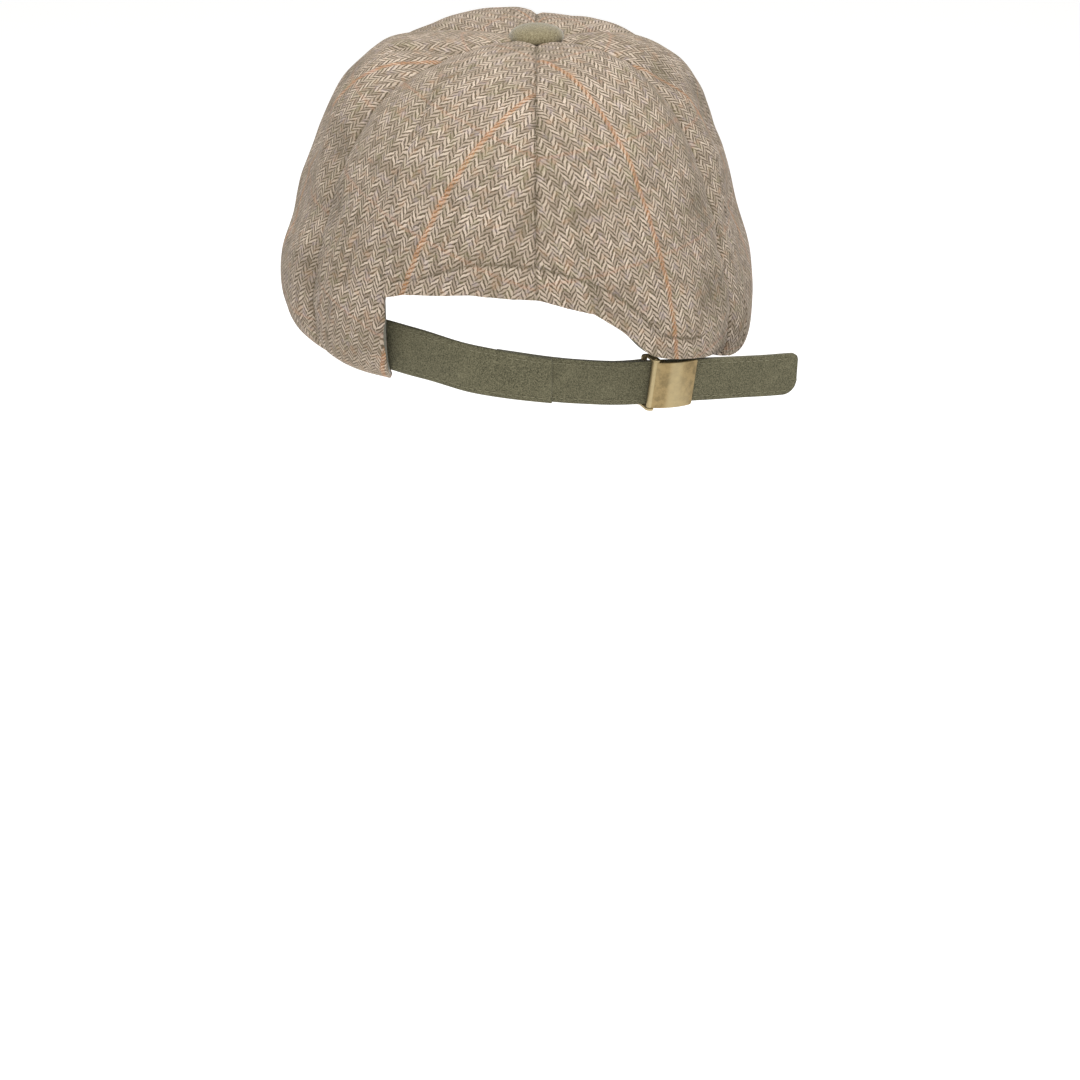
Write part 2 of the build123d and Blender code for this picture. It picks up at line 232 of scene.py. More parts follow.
# how far noise moves the weave (mm): its scale, detail and reach
WAVERS = ((0.09, 2.0, (1.6, 2.4, 0)), (0.8, 1.0, (1.0, 1.0, 0)))
PALE_YARN = ((0.33, 0.262, 0.198, 1), (0.60, 0.495, 0.395, 1))
DARK_YARN = ((0.040, 0.030, 0.016, 1), (0.135, 0.101, 0.062, 1))
CLOUD = (0.16, 0.125, 0.078, 1)
TINTS = ((0.37, 0.31, 0.34, 1), (0.20, 0.19, 0.085, 1), (0.42, 0.24, 0.13, 1))
FUZZ = (0.44, 0.37, 0.31, 1)
SHADE = (0.055, 0.045, 0.022, 1)
HOLLOW_REACH = 0.019


def check_line(n, across, offset, pitch, half_width):
    """1 on a line of the overcheck, repeated every pitch millimetres, 0 away from it."""
    shifted = n.math("ADD", across, pitch * 40 - offset)
    beside = n.math("PINGPONG", shifted, pitch / 2)
    return n.smooth(beside, half_width * 0.5, half_width * 1.3, 1.0, 0.0)


def tweed(name, warp_offset=0.0, weft_offset=0.0):
    """Herringbone wool: pale warp over brown weft, flecked, with an orange and olive overcheck."""
    n = Nodes(name)
    flat = n.cloth_place()
    moved = flat
    for scale, detail, reach in WAVERS:
        drift = n.vector_math("SUBTRACT", n.noise(flat, scale, detail, out=1), (0.5, 0.5, 0.5))
        moved = n.vector_math("MULTIPLY_ADD", drift, reach, moved)
    u, v = n.split(moved)[:2]
    zigzag = n.math("PINGPONG", u, COLUMN)
    column = n.math("FLOOR", n.math("DIVIDE", u, COLUMN))
    odd = n.math("MODULO", n.math("ABSOLUTE", column), 2.0)
    along = n.math("MULTIPLY_ADD", zigzag, TWILL_SLOPE, v)
    along = n.math("ADD", along, n.math("MULTIPLY", odd, TWILL_PITCH / 2))
    rib = n.math("DIVIDE", n.math("PINGPONG", along, TWILL_PITCH / 2), TWILL_PITCH / 2)
    ragged = n.math("MULTIPLY_ADD", n.noise(flat, 1.6, 3.0, 0.7), RAGGED, -RAGGED / 2)
    pale = n.smooth(n.math("ADD", rib, ragged), 0.22, 0.60)
    # each float of yarn has its own shade
    float_row = n.math("FLOOR", n.math("DIVIDE", along, TWILL_PITCH))
    cell = n.node("CombineXYZ", X=column, Y=float_row, Z=odd)
    shade = n.node("TexWhiteNoise", settings={"noise_dimensions": "3D"}, Vector=cell)
    flecks = n.noise(moved, 1.7, 3.0, 0.7)
    clouds = n.noise(flat, 0.035, 3.0, 0.55)
    pale = n.math("MULTIPLY", pale, n.smooth(n.math("ADD", shade, flecks), 0.3, 0.8, 0.68, 1.0))
    color = n.mix(pale, n.mix(flecks, *DARK_YARN), n.mix(shade, *PALE_YARN))
    color = n.mix(n.smooth(clouds, 0.35, 0.7, 0.0, 0.34), color, CLOUD)
    patches = n.node("SeparateColor", Color=n.noise(flat, 0.2, 2.0, 0.6, out=1)).node
    for patch, tint in zip(patches.outputs, TINTS):
        color = n.mix(n.smooth(patch, 0.54, 0.72, 0.0, 0.30), color, tint)
    broken = n.smooth(flecks, 0.40, 0.6, 0.12, 1.0)
    for across, offset, pitch, width, tint, strength in (
        (u, warp_offset, WARP_CHECK, 1.15, (0.50, 0.20, 0.06, 1), 0.58),
        (v, weft_offset, WEFT_CHECK, 0.8, (0.48, 0.21, 0.11, 1), 0.30),
        (u, warp_offset + WARP_CHECK / 2, WARP_CHECK, 2.4, (0.095, 0.085, 0.035, 1), 0.32),
        (v, weft_offset + WEFT_CHECK / 2, WEFT_CHECK, 2.0, (0.10, 0.085, 0.04, 1), 0.12),
    ):
        line = check_line(n, across, offset, pitch, width)
        color = n.mix(n.math("MULTIPLY", line, n.math("MULTIPLY", broken, strength)), color, tint)
    fuzz = n.noise(flat, 3.5, 4.0, 0.75)
    color = n.mix(n.smooth(fuzz, 0.35, 0.75, 0.0, 0.18), color, FUZZ)
    # the cloth lies in its own shade along its seams, creases and arch stitching, and in its hollows
    edges = n.split(n.node("UVMap", settings={"uv_map": EDGE_UV}))
    seam = n.smooth(n.math("MULTIPLY", edges[0], 1000.0), 0.25, 1.3, 0.34, 0.0)
    from_stitch = n.math("ABSOLUTE", n.math("MULTIPLY_ADD", edges[1], 1000.0, -ARCH_STITCH))
    dim = n.math("MAXIMUM", seam, n.smooth(from_stitch, 0.2, 1.1, 0.40, 0.0))
    place = n.node("TexCoord", out=3)
    for centre, _, _ in HOLLOWS:
        away = n.vector_math("DISTANCE", place, tuple(c * MM for c in centre), out=1)
        dim = n.math("MAXIMUM", dim, n.smooth(away, 0.002, HOLLOW_REACH, 0.27, 0.0))
    color = n.mix(dim, color, SHADE)
    normal = n.bump(n.math("MULTIPLY_ADD", fuzz, 0.6, rib), RIB_RELIEF, 0.8)
    return n.finish(color, normal, Roughness=0.92, Sheen_Weight=0.06, Sheen_Roughness=0.45,
                    Specular_IOR_Level=0.12)


# ---------------------------------------------------------------- crown shape

POLE = np.array([-9.0, 0.0])
PANELS = {
    "back_left": 30.0,
    "back_right": 90.0,
    "side_right": 150.0,
    "front_right": 210.0,
    "front_left": 270.0,
    "side_left": 330.0,
}
PANEL_ANGLE = 60.0
# height, middle, half width, length to the back, length to the front, from the pole to the rim (mm)
CROWN = np.array([
    (130.6, -9.0, 0.01, 0.01, 0.01),
    (131.4, -9.0, 13.0, 14.0, 19.0),
    (131.2, -7.5, 27.0, 28.0, 40.0),
    (128.0, -5.0, 46.5, 47.0, 62.0),
    (120.0, -2.0, 65.0, 67.0, 86.0),
    (104.0, 0.0, 81.5, 85.5, 107.0),
    (82.0, 0.0, 94.0, 98.5, 121.0),
    (58.0, 0.0, 102.5, 106.0, 129.0),
    (39.0, 0.0, 108.5, 108.0, 131.0),
    (24.0, 0.0, 110.5, 107.5, 129.0),
    (13.0, 0.0, 108.5, 106.0, 124.0),
    (6.0, 0.0, 103.5, 104.5, 118.0),
    (1.5, 0.0, 95.0, 101.5, 109.0),
    (0.0, 0.0, 86.0, 98.5, 102.0),
    (0.8, 0.0, 82.5, 97.0, 100.0),
])
# the edge of the back arch, seen square from behind, from the wearer's left to right (mm)
ARCH_EDGE = np.array([
    (66.0, 40.0), (56.0, 44.0), (46.0, 47.5), (18.0, 50.5), (-10.0, 48.5), (-33.0, 41.0),
    (-45.0, 32.0), (-57.0, 21.0), (-80.0, 10.9), (-98.0, 3.4), (-112.0, -3.0),
])
ARCH_LEFT_X = 55.2
ARCH_START_Y = 34.0
# the crown's table: points along each section, and degrees between sections
STEPS = 600
TABLE_STEP = 1.0
LAST_PLACE = STEPS - 1.001


def hermite(knots, at):
    """Rows of a smooth curve through the knots' rows, at places from 0 to the last knot's index."""
    slopes = np.gradient(knots, axis=0)
    i = np.clip(np.floor(at).astype(int), 0, len(knots) - 2)
    t = (at - i)[:, None]
    t2, t3 = t * t, t * t * t
    return (knots[i] + (t3 - 2 * t2 + t) * slopes[i] + (3 * t2 - 2 * t3) * (knots[i + 1] - knots[i])
            + (t3 - t2) * slopes[i + 1])


def meridians():
    """The crown's surface, as one section for each degree round the pole, each of STEPS points."""
    z, middle, a, back, front = hermite(CROWN, np.linspace(0, len(CROWN) - 1, STEPS)).T
    rows = []
    for degree in np.arange(0, 360 + TABLE_STEP, TABLE_STEP):
        c, s = math.cos(math.radians(degree)), math.sin(math.radians(degree))
        b = back if s >= 0 else front
        start = POLE[0] - middle
        p = (c / a) ** 2 + (s / b) ** 2
        q = start * c / a**2
        r = (start / a) ** 2 - 1
        reach = (-q + np.sqrt(np.maximum(q * q - p * r, 0))) / p
        rows.append(np.stack([POLE[0] + reach * c, POLE[1] + reach * s, z], -1))
    return np.array(rows)


SURFACE = meridians()
GAPS = np.linalg.norm(np.diff(SURFACE, axis=1), axis=2)
LENGTHS = np.concatenate([np.zeros((len(SURFACE), 1)), np.cumsum(GAPS, axis=1)], axis=1)


def look_up(table, degrees, place):
    """The table's value at angles in degrees and places along the section (0 to STEPS - 1)."""
    d = np.mod(degrees, 360.0) / TABLE_STEP
    d0 = np.floor(d).astype(int)
    k0 = np.clip(np.floor(place).astype(int), 0, STEPS - 2)
    past_d, past_k = d - d0, place - k0
    if table.ndim == 3:
        past_d, past_k = past_d[..., None], past_k[..., None]
    d1 = np.minimum(d0 + 1, len(table) - 1)
    low = table[d0, k0] * (1 - past_d) + table[d1, k0] * past_d
    high = table[d0, k0 + 1] * (1 - past_d) + table[d1, k0 + 1] * past_d
    return low * (1 - past_k) + high * past_k


def lower_end(degrees, margin=0.0):
    """The place along the section, at an angle, where the cloth ends: above the arch, or at the rim."""
    places = np.linspace(STEPS * 0.3, LAST_PLACE, 900)
    points = look_up(SURFACE, np.full(len(places), degrees), places)
    order = np.argsort(ARCH_EDGE[:, 0])
    edge = np.interp(points[:, 0], ARCH_EDGE[order, 0], ARCH_EDGE[order, 1]) + margin
    inside = (points[:, 0] < ARCH_LEFT_X + margin + 0.01) & (points[:, 1] > ARCH_START_Y)
    open_here = (points[:, 2] < edge) & inside
    return places[np.argmax(open_here)] if open_here.any() else places[-1]


def left_edge_angle(places, corner_degrees, corner_place, margin):
    """The angle of the arch's upright left edge at each place along the section."""
    angles = np.full(len(places), corner_degrees)
    trial = np.linspace(20, 75, 400)
    for i, place in enumerate(places):
        if place > corner_place:
            x = look_up(SURFACE, trial, np.full(len(trial), place))[:, 0]
            angles[i] = np.interp(-ARCH_LEFT_X - margin, -x, trial)
    return angles


def even_places(degrees, end, count):
    """count places along a section from the pole to end, evenly spaced along the cloth."""
    k = np.linspace(0, end, 500)
    along = look_up(LENGTHS, np.full(len(k), degrees), k)
    return np.interp(np.linspace(0, along[-1], count), along, k)


# a panel's columns, its rows, and the further rows below the arch's upper edge
COLUMNS = 52
ROWS = 104
RIM_ROWS = 26


def arch_corner(margin=0.0):
    """The angle and place of the arch's upper left corner, drawn outwards by a margin."""
    trial = np.linspace(35, 75, 401)
    ends = np.array([lower_end(d, margin) for d in trial])
    corner = trial[np.argmax(ends < STEPS * 0.86)]
    return corner, lower_end(corner, margin)


def panel_grids(name, margin=0.0, detail=1.0):
    """A panel's angles and places, as one grid of columns, or two where the arch's left edge splits it."""
    start = PANELS[name]
    columns, rows, rim_rows = (int(n * detail) for n in (COLUMNS, ROWS, RIM_ROWS))
    if name != "back_left":
        degrees = np.linspace(start, start + PANEL_ANGLE, columns)
        places = np.array([even_places(d, lower_end(d, margin), rows + rim_rows) for d in degrees])
        return [(np.repeat(degrees[:, None], rows + rim_rows, 1), places)]
    corner, corner_place = arch_corner(margin)
    first, second = [], []
    rim = lower_end(start, margin)
    shared = even_places(corner, corner_place, rows)
    tail = np.linspace(corner_place, rim, rim_rows + 1)[1:]
    places = np.concatenate([shared, tail])
    edge = left_edge_angle(places, corner, corner_place, margin)
    for share in np.linspace(0, 1, columns // 2):
        first.append((start + share * (edge - start), places))
    for degree in np.linspace(corner, start + PANEL_ANGLE, columns // 2 + 6):
        column = shared if degree == corner else even_places(degree, lower_end(degree, margin), rows)
        second.append((np.full(rows, degree), column))
    grids = []
    for columns in (first, second):
        grids.append((np.array([c[0] for c in columns]), np.array([c[1] for c in columns])))
    return grids


def sample_noise(points, scale, seed):
    """Smooth noise from about -1 to 1 at points in millimetres."""
    flat = points.reshape(-1, 3) / scale
    values = [noise.noise(Vector(p) + Vector((seed, seed * 1.7, 0))) for p in flat]
    return np.array(values).reshape(points.shape[:-1])


def bell(x, width):
    """1 at 0, falling off smoothly over a width."""
    return np.exp(-(x / width) ** 2)


# places where the cloth stands proud or has sunk: centre (mm), spread (mm), move (mm)
SETTLING = (
    ((0.0, -62.0, 122.0), 40.0, (0.0, 0.0, 5.0)),
    ((52.0, -20.0, 118.0), 34.0, (3.5, 0.0, 3.5)),
    ((-62.0, -16.0, 108.0), 30.0, (-3.0, 0.0, 3.0)),
    ((98.0, 20.0, 72.0), 22.0, (-4.0, 0.0, 0.0)),
    ((-106.0, 20.0, 60.0), 34.0, (3.2, 0.0, 0.0)),
    ((-108.0, 20.0, 32.0), 22.0, (2.0, 0.0, 0.0)),
    ((-98.0, 24.0, 6.0), 24.0, (-3.5, 4.0, -7.0)),
    ((-22.0, -50.0, 126.0), 13.0, (0.0, 0.0, -4.0)),
    ((56.0, 92.0, 0.0), 20.0, (0.0, 0.0, 3.5)),
    ((-60.0, 84.0, 22.0), 15.0, (0.0, 0.0, -3.0)),
    ((-82.0, 74.0, 10.0), 22.0, (-1.6, 4.6, 0.0)),
    ((-103.0, 40.0, 6.0), 16.0, (-1.0, 1.0, -3.5)),
    ((92.0, 6.0, 96.0), 13.0, (-4.5, 0.0, -1.5)),
    ((102.0, 18.0, 50.0), 12.0, (-3.5, 0.0, 0.0)),
    ((-90.0, 2.0, 92.0), 13.0, (4.5, 0.0, -1.5)),
    ((-104.0, 14.0, 62.0), 11.0, (3.0, 0.0, 0.0)),
)
# small hollows, which lie in shade, in the same form
HOLLOWS = (
    ((74.0, 1.0, 112.0), 9.0, (-1.2, 0.0, -1.8)),
    ((78.0, 39.0, 96.0), 9.0, (-1.8, -0.8, -0.6)),
    ((77.0, 61.0, 75.0), 9.0, (-1.6, -1.0, 0.0)),
    ((91.0, 57.0, 44.0), 9.0, (-1.8, -1.0, 0.0)),
    ((-65.0, 18.0, 120.0), 9.0, (1.2, 0.0, -1.8)),
    ((-80.0, 1.0, 106.0), 9.0, (1.8, 0.0, -1.2)),
    ((-79.0, 60.0, 72.0), 9.0, (1.6, -1.2, 0.0)),
    ((-86.0, 67.0, 37.0), 9.0, (1.6, -1.2, 0.0)),
)
# creases of the back panels, as points along each (mm)
CREASES = (
    ((-8, 75, 114), (-15, 82, 106), (-24, 92, 88), (-31, 98, 69), (-36, 101, 44)),
    ((33, 53, 121), (41, 71, 107), (51, 79, 88), (63, 80, 70), (73, 79, 45)),
    ((-8, 96, 87), (2, 102, 73), (22, 102, 62)),
    ((27, 92, 86), (23, 101, 66)),
    ((27, 94, 82), (50, 91, 65)),
    ((63, 78, 73), (83, 64, 55)),
    ((18, 21, 131), (51, 9, 125)),
)


def crease_distance(points):
    """Distance from the nearest crease."""
    nearest = np.full(points.shape[:-1], np.inf)
    for crease in CREASES:
        for start, end in zip(crease, crease[1:]):
            start, run = np.array(start, float), np.subtract(end, start).astype(float)
            share = np.clip((points - start) @ run / (run @ run), 0, 1)
            nearest = np.minimum(nearest, np.linalg.norm(points - start - share[..., None] * run, axis=-1))
    return nearest


def settle(points):
    """Moves points of the cloth to where the cap's weight and folding have left it."""
    moved = points.copy()
    for centre, spread, move in SETTLING + HOLLOWS:
        away = np.linalg.norm(points - centre, axis=-1)
        moved += bell(away, spread)[..., None] * np.array(move)
    return moved


def pucker(points, from_seam):
    """Rumples, and small drawn creases that run out from the side seams, where the sides have been folded."""
    side = np.clip((np.abs(points[..., 0]) - 62) / 30, 0, 1) * np.clip(points[..., 2] / 25, 0, 1)
    drawn = points * (0.45, 0.45, 1.0)
    rumples = 0.55 * np.clip(points[..., 2] / 30, 0, 1) * sample_noise(points * (1.0, 1.0, 0.45), 14.0, 33.0)
    return 1.9 * side * bell(from_seam, 24.0) * sample_noise(drawn, 7.5, 21.0) + rumples


def stitch_offset(x):
    """How far above the arch's edge its stitches run: nearest at the left, where the turning tapers."""
    share = np.clip((x - 8.0) / 42.0, 0, 1)
    return 12.5 - 7.0 * share**2 * (3 - 2 * share) - 3.0 * np.clip((-x - 10.0) / 40.0, 0, 1)


def arch_distance(points):
    """How far points are from the arch's edge, seen square from behind, up to FAR."""
    route, _ = arch_route()
    flat = points.reshape(-1, 3)
    away = np.full(len(flat), FAR)
    near = (flat[:, 1] > ARCH_START_Y) & (flat[:, 2] < 70) & (flat[:, 0] < 52) & (flat[:, 0] > -80)
    for chunk in np.array_split(np.where(near)[0], 12):
        gaps = flat[chunk][:, None, [0, 2]] - route[None]
        away[chunk] = np.sqrt((gaps**2).sum(-1)).min(1)
    return away.reshape(points.shape[:-1])


def shape_cloth(degrees, places, start):
    """The crown's outer face: its points (mm), outward directions, cloth coordinates and edge distances."""
    points = look_up(SURFACE, degrees, places)
    step = 0.6
    along = look_up(SURFACE, degrees, np.minimum(places + step, LAST_PLACE))
    along -= look_up(SURFACE, degrees, np.maximum(places - step, 0))
    round_ = look_up(SURFACE, degrees + 0.8, places) - look_up(SURFACE, degrees - 0.8, places)
    normals = np.cross(along, round_)
    normals /= np.maximum(np.linalg.norm(normals, axis=-1, keepdims=True), 1e-9)
    normals[places < 3] = (0, 0, 1)
    reach = np.linalg.norm(points[..., :2] - POLE, axis=-1)
    middle = start + PANEL_ANGLE / 2
    u = np.radians(degrees - middle) * reach
    v = look_up(LENGTHS, degrees, places)
    half = np.radians(PANEL_ANGLE / 2) * reach
    from_seam = half - np.abs(u)
    across = np.clip(np.abs(u) / np.maximum(half, 1e-6), 0, 1)
    height = points[..., 2]
    fullness = np.clip(v / 40, 0, 1) * np.clip(height / 30, 0.15, 1)
    from_arch = arch_distance(points) * ARCH_STITCH / stitch_offset(points[..., 0])
    held = np.clip(from_arch / 14, 0.25, 1)
    lift = 2.2 * fullness * (1 - across**2)
    lift -= 1.1 * bell(from_seam, 1.5) * np.clip(v / 20, 0, 1)
    side_seam = np.clip((np.abs(points[..., 0]) - 25) / 35, 0, 1)
    lift -= (1.2 + 1.3 * side_seam) * bell(from_seam, 9.0) * fullness
    lift += 1.6 * sample_noise(points, 38.0, 3.0) * fullness
    lift += 0.8 * sample_noise(points, 15.0, 8.0) * fullness
    lift += pucker(points, from_seam)
    from_crease = crease_distance(points)
    lift += 0.45 * bell(from_crease - 5.5, 3.5) - 1.0 * bell(from_crease, 2.3)
    lift *= held
    lift += 0.45 * np.clip((ARCH_STITCH + 1.0 - from_arch) / 2, 0, 1)
    lift -= 0.85 * bell(from_arch - ARCH_STITCH, 1.2)
    points = settle(points + normals * lift[..., None])
    return points, normals, u, v, (np.minimum(from_seam, 0.5 + 0.4 * from_crease), from_arch)


def inverse_place(x, z):
    """The angle and place of the crown's back where it is seen, square from behind, at x and z."""
    falling = np.arange(80, STEPS - 50)
    z_of = look_up(SURFACE, np.full(len(falling), 90.0), falling.astype(float))[:, 2]
    place = np.interp(-z, -z_of, falling)
    trial = np.linspace(0, 180, 721)
    degrees = np.empty(len(place))
    for i, k in enumerate(place):
        x_of = look_up(SURFACE, trial, np.full(len(trial), k))[:, 0]
        degrees[i] = np.interp(-x[i], -x_of, trial)
    return degrees, place


def cloth_at(x, z, depth):
    """Points at a depth under the crown's back, where x and z are seen, and their outward directions."""
    degrees, place = inverse_place(x, z)
    start = PANELS["back_left"] + PANEL_ANGLE * np.clip(np.floor((degrees - 30) / PANEL_ANGLE), -1, 2)
    points, normals = shape_cloth(degrees, place, start)[:2]
    return points - normals * depth, normals


def arch_route():
    """The arch's edge seen square from behind, from its left foot to its right, and outward directions."""
    order = np.argsort(-ARCH_EDGE[:, 0])
    knots = ARCH_EDGE[order]
    knots = knots[(knots[:, 0] <= ARCH_LEFT_X + 0.01) & (knots[:, 0] > -99)]
    top = hermite(knots, np.linspace(0, len(knots) - 1, 170))
    way = np.gradient(top, axis=0)
    way /= np.linalg.norm(way, axis=1, keepdims=True)
    top_out = np.stack([way[:, 1], -way[:, 0]], -1)
    rise = np.linspace(2.0, top[0, 1], 40)[:-1]
    side = np.stack([np.full(len(rise), ARCH_LEFT_X), rise], -1)
    side_out = np.repeat([[1.0, 0.0]], len(side), 0)
    turns = np.linspace(0, math.atan2(top_out[0, 1], top_out[0, 0]), 8)[:-1]
    corner = np.repeat(top[:1], len(turns), 0)
    corner_out = np.stack([np.cos(turns), np.sin(turns)], -1)
    return np.concatenate([side, corner, top]), np.concatenate([side_out, corner_out, top_out])


def make_sheet(name, grids, uvs, edges=None):
    """A mesh of one or more grids of points in millimetres, joined where they meet, with cloth coordinates.

    edges are distances from the seams and from the arch; without them the whole sheet is far from both.
    """
    mesh = bpy.data.meshes.new(name)
    bm = bmesh.new()
    layer = bm.loops.layers.uv.new(CLOTH_UV)
    edge_layer = bm.loops.layers.uv.new(EDGE_UV)
    for k, (grid, (u, v)) in enumerate(zip(grids, uvs)):
        from_seam, from_arch = edges[k] if edges else np.full((2, *grid.shape[:2]), FAR)
        count, rows = grid.shape[:2]
        verts = [[bm.verts.new(grid[i, j] * MM) for j in range(rows)] for i in range(count)]
        for i in range(count - 1):
            for j in range(rows - 1):
                corners = ((i, j), (i, j + 1), (i + 1, j + 1), (i + 1, j))
                face = bm.faces.new([verts[a][b] for a, b in corners])
                face.smooth = True
                for loop, (a, b) in zip(face.loops, corners):
                    loop[layer].uv = (u[a, b] * MM, v[a, b] * MM)
                    loop[edge_layer].uv = (from_seam[a, b] * MM, from_arch[a, b] * MM)
    bmesh.ops.remove_doubles(bm, verts=bm.verts, dist=0.00002)
    bm.to_mesh(mesh)
    bm.free()
    made = bpy.data.objects.new(name, mesh)
    scene.collection.objects.link(made)
    return made


def apply_modifiers(made):
    """Replaces an object's mesh by what its modifiers make of it."""
    graph = bpy.context.evaluated_depsgraph_get()
    mesh = bpy.data.meshes.new_from_object(made.evaluated_get(graph), depsgraph=graph)
    made.modifiers.clear()
    made.data = mesh
    mesh.name = made.name


def thicken(made, thickness, edge_radius=0.0, offset=-1, segments=3):
    """Gives a sheet its thickness, inwards (-1), outwards (1) or both ways (0), and rounds its edges."""
    solid = made.modifiers.new("thickness", "SOLIDIFY")
    solid.thickness = thickness * MM
    solid.offset = offset
    if edge_radius:
        bevel = made.modifiers.new("edges", "BEVEL")
        bevel.width = edge_radius * MM
        bevel.segments = segments
        bevel.limit_method = "ANGLE"
        bevel.angle_limit = math.radians(50)
    apply_modifiers(made)
    for polygon in made.data.polygons:
        polygon.use_smooth = True


def build_panel(name, node, layer, depth, thickness, margin, detail):
    """One panel of one layer of the crown, at a depth under the outer face."""
    grids, uvs, edges = [], [], []
    lean = math.radians(OVERCHECK[name][2])
    for degrees, places in panel_grids(name, margin, detail):
        points, normals, u, v, edge = shape_cloth(degrees, places, PANELS[name])
        grids.append(points - normals * depth)
        down = v - GRAIN_FOOT
        uvs.append((u * math.cos(lean) + down * math.sin(lean), v * math.cos(lean) - u * math.sin(lean)))
        edges.append(edge)
    panel = make_sheet(f"{layer}_{name}", grids, uvs, edges)
    thicken(panel, thickness, thickness * 0.34)
    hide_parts(f"{node}_{name}")
    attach(panel, "cap")
    return panel


def wear(piece, material):
    """Gives a piece its one material."""
    piece.data.materials.clear()
    piece.data.materials.append(material)


# where each panel's overcheck lines fall, across the warp and along it (mm), and its warp's lean (degrees)
OVERCHECK = {
    "back_left": (6.0, 76.0, 18.5),
    "back_right": (2.0, 86.0, -11.0),
    "side_right": (-12.0, 80.0, -8.0),
    "front_right": (0.0, 78.0, 8.0),
    "front_left": (0.0, 78.0, -8.0),
    "side_left": (12.0, 80.0, 8.0),
}
GRAIN_FOOT = 140.0


def build_crown():
    """The six tweed panels and the six lining panels behind them."""
    satin = lining_satin()
    for name in PANELS:
        warp, weft, _ = OVERCHECK[name]
        outer = build_panel(name, "crown_panel", "tweed", 0.0, 2.0, 0.0, 1.0)
        wear(outer, tweed(f"tweed_{name}", warp, weft))
        wear(build_panel(name, "lining_panel", "lining", 3.0, 0.6, 9.0, 0.5), satin)


# ---------------------------------------------------------------- other cloths and metal


def lining_satin(name="lining_satin"):
    """Dark satin with fine warp ribs and soft streaks."""
    n = Nodes(name)
    flat = n.cloth_place()
    drawn = n.vector_math("MULTIPLY", flat, (1.0, 0.08, 1.0))
    streaks = n.noise(drawn, 1.4, 3.0, 0.6)
    weave = n.noise(flat, 4.0, 1.0)
    color = n.mix(n.smooth(streaks, 0.3, 0.7), (0.075, 0.072, 0.052, 1), (0.12, 0.115, 0.085, 1))
    height = n.math("MULTIPLY_ADD", weave, 0.5, streaks)
    return n.finish(color, n.bump(height, 0.0001, 0.6), Roughness=0.42, Sheen_Weight=0.15,
                    Specular_IOR_Level=0.45)


def cotton_twill():
    """Dark cotton tape with a fine diagonal rib."""
    n = Nodes("sweatband_twill")
    flat = n.cloth_place()
    half_pitch = 0.45
    u, v = n.split(flat)[:2]
    rib = n.math("DIVIDE", n.math("PINGPONG", n.math("ADD", u, v), half_pitch), half_pitch)
    grain = n.noise(flat, 1.2, 3.0, 0.6)
    color = n.mix(rib, (0.055, 0.05, 0.038, 1), (0.12, 0.11, 0.085, 1))
    color = n.mix(n.smooth(grain, 0.35, 0.7, 0.0, 0.3), color, (0.17, 0.155, 0.12, 1))
    return n.finish(color, n.bump(rib, 0.00015, 0.6), Roughness=0.85, Specular_IOR_Level=0.25)


def olive_nap(name, dark, light, sheen, fineness=1.5):
    """Brushed olive cloth with a short nap: mottled, with rubbed patches and a soft bloom."""
    n = Nodes(name)
    flat = n.object_place()
    nap = n.noise(flat, fineness, 5.0, 0.7)
    patches = n.noise(flat, 0.07, 4.0, 0.7)
    grain = n.noise(flat, 4.5, 2.0, 0.6)
    color = n.mix(n.smooth(nap, 0.32, 0.68), dark, light)
    rubbed = tuple(min(1.0, c * 1.35) for c in light[:3]) + (1,)
    color = n.mix(n.smooth(patches, 0.45, 0.8, 0.0, 0.22), color, rubbed)
    color = n.mix(n.smooth(grain, 0.5, 0.8, 0.0, 0.35), color, tuple(c * 0.6 for c in dark[:3]) + (1,))
    height = n.math("MULTIPLY_ADD", grain, 0.5, nap)
    return n.finish(color, n.bump(height, 0.00025, 0.7), Roughness=0.95, Sheen_Weight=sheen,
                    Sheen_Roughness=0.4, Specular_IOR_Level=0.15)


def thread_cotton(name, color):
    """Sewing thread, twisted and a little shiny."""
    n = Nodes(name)
    flat = n.object_place()
    twist = n.noise(flat, 3.0, 2.0)
    pale = tuple(min(1.0, c * 1.5) for c in color[:3]) + (1,)
    return n.finish(n.mix(twist, color, pale), n.bump(twist, 0.0001, 0.5), Roughness=0.6)


def antique_brass():
    """Brushed brass with dark blotches and specks, lighter along its edges: partly rubbed wear, partly a
    painted highlight.
    """
    n = Nodes("antique_brass_wear_and_edge_highlight")
    flat = n.object_place()
    blotches = n.noise(flat, 0.35, 4.0, 0.65)
    specks = n.noise(flat, 2.6, 3.0, 0.7)
    drawn = n.vector_math("MULTIPLY", flat, (0.25, 0.25, 4.0))
    scratches = n.noise(drawn, 1.8, 3.0, 0.6)
    edge = n.tree.nodes.new("ShaderNodeNewGeometry").outputs["Pointiness"]
    color = n.mix(n.smooth(blotches, 0.35, 0.7), (0.335, 0.245, 0.115, 1), (0.21, 0.155, 0.073, 1))
    color = n.mix(n.smooth(specks, 0.56, 0.72, 0.0, 0.5), color, (0.15, 0.105, 0.05, 1))
    # painted highlight: sharp convex edges are lightened, partly as rubbed wear on the brass and partly as a
    # painted highlight along the edges
    color = n.mix(n.smooth(edge, 0.51, 0.56, 0.0, 0.7), color, (0.50, 0.41, 0.235, 1))
    rough = n.smooth(scratches, 0.3, 0.7, 0.42, 0.58)
    height = n.math("MULTIPLY_ADD", scratches, 0.6, specks)
    return n.finish(color, n.bump(height, 0.00005, 0.5), Metallic=0.85, Roughness=rough)


def marked(name, scale, colors, relief, strength, **sockets):
    """A smooth material with soft marks between two colours."""
    n = Nodes(name)
    marks = n.noise(n.object_place(), scale, 3.0, 0.6)
    return n.finish(n.mix(marks, *colors), n.bump(marks, relief, strength), **sockets)


